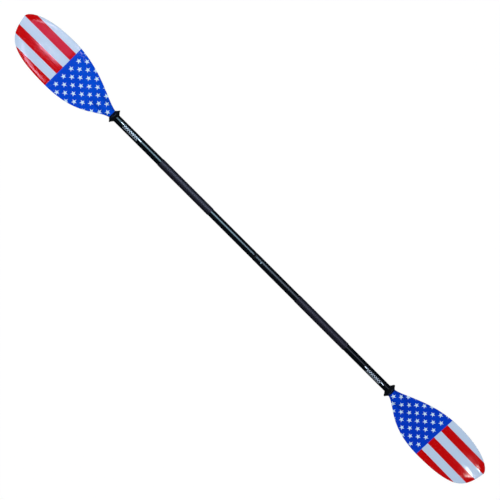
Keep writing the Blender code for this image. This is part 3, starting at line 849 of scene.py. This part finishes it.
for word, side in sides.items():
    finishPiece(dripRingPiece(word, side), f"{word}_drip", "ring_rubber", ringRubber, f"{word}_drip_ring")
print("drip rings on")

springSteel = newMaterial("spring steel", Base_Color=(0.55, 0.56, 0.58), Metallic=1.0)
brushed = noise(springSteel, stretched(springSteel, place(springSteel), (8, 900, 900)), 1.0)
feed(springSteel, spread(springSteel, brushed, 0.22, 0.38), shaderOf(springSteel).inputs["Roughness"])


def leafSpring():
    # the bent strip under the button, with its edges eased
    piece = bpy.data.objects.new("button_leaf", cadNodes["button_spring"].data.copy())
    bpy.context.scene.collection.objects.link(piece)
    startEdit(piece)
    bpy.ops.mesh.remove_doubles(threshold=mergeDistance)
    bpy.ops.mesh.dissolve_limited(angle_limit=math.radians(0.5))
    bpy.ops.object.mode_set(mode="OBJECT")
    softenEdges(piece, width=0.0001, segments=2, degrees=50)
    shadeByAngle(piece, degrees=40)
    return piece


leaf = finishPiece(leafSpring(), "left_half", "button_steel", springSteel, "button_spring")
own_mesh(leaf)

# pieces that keep their shape from the CAD model
keptFinishes = {
    "left_blade_plug": foamLook, "right_blade_plug": foamLook,
    "left_joint_plug": foamLook, "right_joint_plug": foamLook,
    "ferrule_cap": ferruleBlack,
}
for nodeName, finish in keptFinishes.items():
    slots = cadNodes[nodeName].data.materials
    if len(slots):
        slots[0] = finish
    else:
        slots.append(finish)
print("inside pieces finished")

stageSetup = {
    "floorSize": 14.0, "floorGap": 0.001, "floorColour": (0.03, 0.03, 0.03), "floorGlow": 0.975,
    "backdropRadius": 9.0,
    "worldColour": (0.80, 0.92, 1.0), "worldStrength": 0.03,
}
deselectAll()
bpy.ops.mesh.primitive_plane_add(size=stageSetup["floorSize"],
                                 location=(0, 0, cadBox[0].z - stageSetup["floorGap"]))
floor = bpy.context.object
floor.name = "floor"
floorMaterial = newMaterial("floor white", Base_Color=stageSetup["floorColour"], Roughness=0.9,
                            Specular_IOR_Level=0.0, Emission_Color=(1.0, 1.0, 1.0),
                            Emission_Strength=stageSetup["floorGlow"])
floor.data.materials.append(floorMaterial)
floor.visible_glossy = False
deselectAll()
bpy.ops.mesh.primitive_uv_sphere_add(radius=stageSetup["backdropRadius"], location=(0, 0, 0))
backdrop = bpy.context.object
backdrop.name = "backdrop"
backdrop.data.materials.append(newMaterial("backdrop white", Base_Color=(0, 0, 0), Specular_IOR_Level=0.0,
                                           Emission_Color=(1.0, 1.0, 1.0), Emission_Strength=1.0))
backdrop.visible_glossy = backdrop.visible_diffuse = backdrop.visible_shadow = False  # closes the view only

scene = bpy.context.scene
scene.view_settings.view_transform = "Standard"
world = bpy.data.worlds.new("studio")
scene.world = world
world.use_nodes = True
world.node_tree.nodes["Background"].inputs[0].default_value = (*stageSetup["worldColour"], 1)
world.node_tree.nodes["Background"].inputs[1].default_value = stageSetup["worldStrength"]

coolLight = (0.88, 0.96, 1.06)
skyLight = (0.62, 1.0, 1.23)
greyLight = (0.88, 1.0, 1.34)
pinkLight = (1.0, 0.30, 0.75)
bladeNames = {word: [f"{word}_blade_power_face", f"{word}_blade_back_face"] for word in sides}
shaftNames = [obj.name for obj in bpy.data.objects
              if obj.type == "MESH" and obj.name not in sum(bladeNames.values(), ["floor"])]
lamps = {  # a lamp with "lights" shines on those pieces only
    "overhead fill": {"place": (-0.45, 0.0, 3.2), "size": (4.6, 3.0), "radiance": 4.15, "gloss": False,
                      "colour": coolLight},
    "left softbox": {"place": (-0.38, 0.85, 2.0), "size": (1.14, 1.25), "radiance": 8.3,
                     "colour": skyLight, "lights": shaftNames},
    "sleeve softbox": {"place": (0.335, 0.85, 2.0), "size": (0.29, 1.25), "radiance": 4.0,
                       "colour": greyLight, "lights": shaftNames},
    "right softbox": {"place": (0.87, 0.55, 2.0), "size": (0.78, 0.95), "radiance": 1.35,
                      "colour": greyLight, "lights": shaftNames},
    "button lamp": {"place": (0.10, -0.45, 2.0), "size": (0.50, 0.50), "radiance": 5.0,
                    "colour": (1.0, 0.97, 0.90), "lights": ["snap_pin"]},
    "left streak": {"place": (-0.725, -0.030, 4.0), "size": (0.07, 0.008), "radiance": 11.0,
                    "lights": bladeNames["left"]},
    "left low streak": {"place": (-0.720, 0.027, 4.0), "size": (0.085, 0.020), "radiance": 16.0,
                        "colour": (1.0, 0.72, 1.0), "lights": bladeNames["left"]},
    "left wash": {"place": (-0.955, 0.019, 1.0), "size": (0.10, 0.032), "radiance": 1.9,
                  "colour": pinkLight, "lights": bladeNames["left"]},
    "right spot": {"place": (1.347, 0.007, 4.0), "size": (0.028, 0.024), "radiance": 48.0,
                   "lights": bladeNames["right"]},
    "right glint": {"place": (1.378, -0.052, 4.0), "size": (0.016, 0.015), "radiance": 7.0,
                    "colour": (1.0, 0.70, 0.88), "lights": bladeNames["right"]},
}


def addLamp(name, look):
    data = bpy.data.lights.new(name, "AREA")
    data.shape = "RECTANGLE"
    data.size, data.size_y = look["size"]
    data.energy = look["radiance"] * math.pi * data.size * data.size_y
    data.color = look.get("colour", (1.0, 1.0, 1.0))
    lamp = bpy.data.objects.new(name, data)
    scene.collection.objects.link(lamp)
    lamp.location = look["place"]
    aim = Vector((look["place"][0], 0, 0)) - lamp.location  # straight at the shaft
    lamp.rotation_euler = aim.to_track_quat("-Z", "Y").to_euler()
    lamp.visible_glossy = look.get("gloss", True)
    if "lights" in look:
        lit = bpy.data.collections.new(name + " lights")
        for pieceName in look["lights"]:
            lit.objects.link(bpy.data.objects[pieceName])
        lamp.light_linking.receiver_collection = lit


for lampName, lampLook in lamps.items():
    addLamp(lampName, lampLook)

view = {
    "distance": 4.035, "tilt": math.radians(5.23), "focal": 81.55, "sensor": 36,
    "along": (0.70793, -0.70628),  # right and up shares of the shaft's direction in the view
    "offset": (0.01550, -0.02077),  # of the joint from the middle of the view, right and up
    "slide": 0.0015,  # along the shaft
}
forward = Vector((math.sin(view["tilt"]), 0, -math.cos(view["tilt"])))
alongShaft = Vector((math.cos(view["tilt"]), 0, math.sin(view["tilt"])))
acrossShaft = Vector((0, 1, 0))
right = alongShaft * view["along"][0] - acrossShaft * view["along"][1]
upward = alongShaft * view["along"][1] + acrossShaft * view["along"][0]
cameraData = bpy.data.cameras.new("camera")
cameraData.lens = view["focal"]
cameraData.sensor_width = view["sensor"]
camera = bpy.data.objects.new("camera", cameraData)
scene.collection.objects.link(camera)
cameraPlace = -(forward * view["distance"] + right * view["offset"][0] + upward * view["offset"][1]
                - alongShaft * view["slide"])
cameraTurn = Matrix((right, upward, -forward)).transposed()
camera.matrix_world = Matrix.Translation(cameraPlace) @ cameraTurn.to_4x4()
scene.camera = camera
print("stage set")
